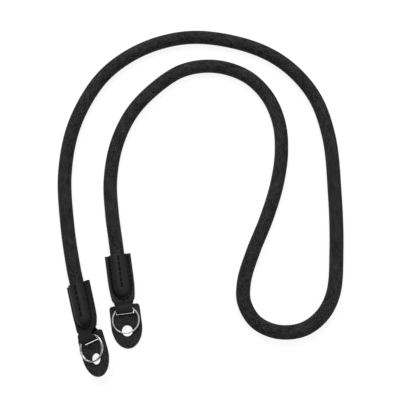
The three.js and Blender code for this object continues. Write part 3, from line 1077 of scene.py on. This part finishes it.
def guard_outline(name, guard):
    """The pad's outline as one flat face: half an oval at its tip, and straight towards the strap."""
    middle = (0, -GUARD_WIDEST, GUARD_BACK)
    obj = circle(name, OVAL_SIDES, radius=guard.half_width, location=middle)
    opened(obj)
    oval = (GUARD_TIP - GUARD_WIDEST) / guard.half_width
    bpy.ops.transform.resize(value=(1, oval, 1), center_override=middle)
    select_points(obj, lambda co: co.y > -GUARD_WIDEST + TINY)
    bpy.ops.mesh.delete(type="VERT")
    out, up = guard.top_half_width - guard.half_width, GUARD_WIDEST - GUARD_TOP
    for side in (-1, 1):
        select_points(obj, lambda co: co.x * side > guard.half_width - TINY)
        bpy.ops.mesh.extrude_vertices_move(TRANSFORM_OT_translate={"value": (side * out, up, 0)})
    select_points(obj, lambda co: co.y > -GUARD_TOP - TINY)
    bpy.ops.mesh.edge_face_add()
    bpy.ops.mesh.bevel(offset=guard.corner, affect="VERTICES", segments=8)
    bpy.ops.mesh.select_all(action="SELECT")
    bpy.ops.mesh.edge_face_add()
    return obj


def straight_guard(name, guard):
    """The guard pad in its fold's own frame."""
    obj = guard_outline(name, guard)
    bpy.ops.mesh.extrude_region_move(TRANSFORM_OT_translate={"value": (0, 0, guard.thickness)})
    faced_outwards()

    tall = 4 * guard.thickness
    slit = added("slit", bpy.ops.mesh.primitive_cube_add, size=1)
    slit.location = (0, -(SLIT_START + SLIT_END) / 2, GUARD_BACK)
    slit.scale = (2 * SLIT_HALF, SLIT_END - SLIT_START, tall)
    bpy.ops.object.transform_apply()
    rounded(slit, SLIT_CORNER, 4)
    cut_with(obj, slit)
    about = {"radius": guard.hole_radius, "depth": tall, "location": (0, -HOLE_AT, GUARD_BACK)}
    cut_with(obj, added("hole", bpy.ops.mesh.primitive_cylinder_add, vertices=HOLE_SIDES, **about))
    rounded(obj, guard.edge, 5, above=50)
    opened(obj)
    bpy.ops.mesh.remove_doubles(threshold=TINY)
    faced_outwards()
    return obj


class STRAP_OT_guards(bpy.types.Operator):
    """Makes the leather guard pads that keep the split rings off the camera"""

    bl_idname = "rope_strap.guards"
    bl_label = "Guard pads"

    def execute(self, context):
        guard = context.scene.rope_strap.guard
        material = grained_leather_finish(guard)
        for end in ENDS:
            obj = straight_guard(f"{end.side}_guard_pad", guard)
            points = points_of(obj)
            z = points[:, 2]
            from_face = np.minimum(z - GUARD_BACK, GUARD_BACK + guard.thickness - z)
            mark(obj, "edge", from_face / (0.5 * guard.edge))
            put_points(obj, moved(points, end.fold))
            bpy.ops.object.shade_smooth_by_angle(angle=math.radians(40))
            complete(obj, "strap", material, "guard_leather", f"{end.side}_guard")
        return {"FINISHED"}


# ---- split rings

RING_STEP_AT, RING_STEP_SPAN = 215, 28  # degrees: where the strip steps to its next turn, and how long for
RING_SIDES, RING_STEPS = 20, 288
SQUARENESS = 0.62  # below 1 the section's corners fill out
CUT_END_ROUNDING = 0.12 * MM


def coiled_ring(name, ring):
    """The split ring about its own middle: a strip's section spun through nearly two turns, with one short
    step from the lower turn to the upper one."""
    sweep = 720 - RING_STEP_SPAN
    obj = circle(name, RING_SIDES, radius=1, rotation=(math.pi / 2, 0, 0))
    section = points_of(obj)
    for k, half in ((0, ring.wide / 2), (2, ring.deep / 2)):
        section[:, k] = np.sign(section[:, k]) * np.abs(section[:, k]) ** SQUARENESS * half
    section[:, 0] += ring.radius
    put_points(obj, section)
    opened(obj)
    bpy.ops.mesh.spin(steps=RING_STEPS, angle=math.radians(sweep), center=(0, 0, 0), axis=(0, 0, 1))
    bpy.ops.object.mode_set(mode="OBJECT")
    points = points_of(obj)
    if len(points) != RING_SIDES * (RING_STEPS + 1):
        raise RuntimeError("the strip wasn't spun as one tube")

    # the points come section by section, in the order of the turn
    degrees = np.linspace(0, sweep, RING_STEPS + 1)
    middles = points.reshape(RING_STEPS + 1, RING_SIDES, 3).mean(axis=1)
    if np.abs(middles[:, 0] - ring.radius * np.cos(np.radians(degrees))).max() > 0.1 * MM:
        raise RuntimeError("the strip's sections aren't in order")
    climb = eased((degrees - (360 - RING_STEP_SPAN)) / RING_STEP_SPAN)
    points[:, 2] += np.repeat((climb - 0.5) * ring.pitch, RING_SIDES)
    put_points(obj, moved(points, about_axis("Z", RING_STEP_AT)))

    # close and round the strip's two ends
    opened(obj)
    bpy.ops.mesh.select_all(action="DESELECT")
    bpy.ops.mesh.select_mode(type="EDGE")
    bpy.ops.mesh.select_non_manifold()
    bpy.ops.mesh.fill_holes(sides=0)
    faced_outwards()
    rounded(obj, CUT_END_ROUNDING, 2, above=60)
    return obj


class STRAP_OT_split_rings(bpy.types.Operator):
    """Makes the steel split rings, each one strip coiled twice"""

    bl_idname = "rope_strap.split_rings"
    bl_label = "Split rings"

    def execute(self, context):
        ring = context.scene.rope_strap.ring
        material = steel_finish(ring)
        for end in ENDS:
            obj = coiled_ring(f"{end.side}_split_ring", ring)
            put_points(obj, moved(points_of(obj), end.ring_frame(ring.radius)))
            bpy.ops.object.shade_smooth_by_angle(angle=math.radians(35))
            complete(obj, f"{end.side}_ring", material, "ring_steel", f"{end.side}_ring")
        return {"FINISHED"}


# ---- stage

FLOOR_SIZE = 6
CAMERA_TILT, CAMERA_AWAY, CAMERA_AIM = math.radians(14), 0.52, Vector((0.5, -5, 5)) * MM
NEAREST_SEEN, FARTHEST_SEEN = 0.05, 20
# each light's place, its size, and its power over the key light's
LIGHTS = {"key": ((-0.15, 0.6, 0.9), 0.9, 1.0), "fill": ((0.6, -0.5, 0.8), 1.0, 0.35)}


def soft_light(name, place, size, power):
    light = bpy.data.lights.new(name, "AREA")
    light.shape, light.size, light.energy = "DISK", size, power
    obj = linked(name, light)
    obj.location = place
    obj.rotation_euler = (-Vector(place)).to_track_quat("-Z", "Y").to_euler()


class STRAP_OT_stage(bpy.types.Operator):
    """Sets up the floor, the soft light and the camera"""

    bl_idname = "rope_strap.stage"
    bl_label = "Stage"

    def execute(self, context):
        scene, stage = context.scene, context.scene.rope_strap.stage
        camera = linked("camera", bpy.data.cameras.new("camera"))
        camera.data.lens = stage.lens
        camera.data.clip_start, camera.data.clip_end = NEAREST_SEEN, FARTHEST_SEEN
        back = Vector((0, -math.sin(CAMERA_TILT), math.cos(CAMERA_TILT)))
        camera.location = CAMERA_AIM + back * CAMERA_AWAY
        camera.rotation_euler = (CAMERA_TILT, 0, 0)
        scene.camera = camera

        floor = added("floor", bpy.ops.mesh.primitive_plane_add, size=FLOOR_SIZE)
        floor.data.materials.append(floor_finish(stage))

        world = bpy.data.worlds.new("soft white room")
        world.use_nodes = True
        sky = world.node_tree.nodes["Background"]
        sky.inputs["Color"].default_value = (1, 1, 1, 1)
        sky.inputs["Strength"].default_value = stage.sky
        scene.world = world
        for name, (place, size, of_key) in LIGHTS.items():
            soft_light(name, place, size, stage.key * of_key)
        scene.view_settings.view_transform = "Standard"
        return {"FINISHED"}


# ---- panel


class STRAP_PT_panel(bpy.types.Panel):
    """Lists the strap's pieces and their sizes"""

    bl_label = "Rope strap"
    bl_idname = "STRAP_PT_panel"
    bl_space_type = "VIEW_3D"
    bl_region_type = "UI"
    bl_category = "Rope strap"

    def draw(self, context):
        settings = context.scene.rope_strap
        for operator, part in PIECES:
            box = self.layout.box()
            box.operator(operator.bl_idname)
            group = getattr(settings, part)
            for name in group.__annotations__:
                box.prop(group, name)


PIECES = [
    (STRAP_OT_stage, "stage"),
    (STRAP_OT_rope, "rope"),
    (STRAP_OT_sleeves, "leather"),
    (STRAP_OT_stitching, "stitches"),
    (STRAP_OT_guards, "guard"),
    (STRAP_OT_split_rings, "ring"),
]

CLASSES = [
    RopeSettings,
    LeatherSettings,
    StitchSettings,
    GuardSettings,
    RingSettings,
    StageSettings,
    StrapSettings,
    *(operator for operator, _ in PIECES),
    STRAP_PT_panel,
]


def register():
    for cls in CLASSES:
        bpy.utils.register_class(cls)
    bpy.types.Scene.rope_strap = PointerProperty(type=StrapSettings)


def unregister():
    del bpy.types.Scene.rope_strap
    for cls in reversed(CLASSES):
        bpy.utils.unregister_class(cls)


def main():
    register()
    bpy.ops.rope_strap.stage()
    bpy.ops.rope_strap.rope()
    bpy.ops.rope_strap.sleeves()
    bpy.ops.rope_strap.stitching()
    bpy.ops.rope_strap.guards()
    bpy.ops.rope_strap.split_rings()


if __name__ == "__main__":
    main()
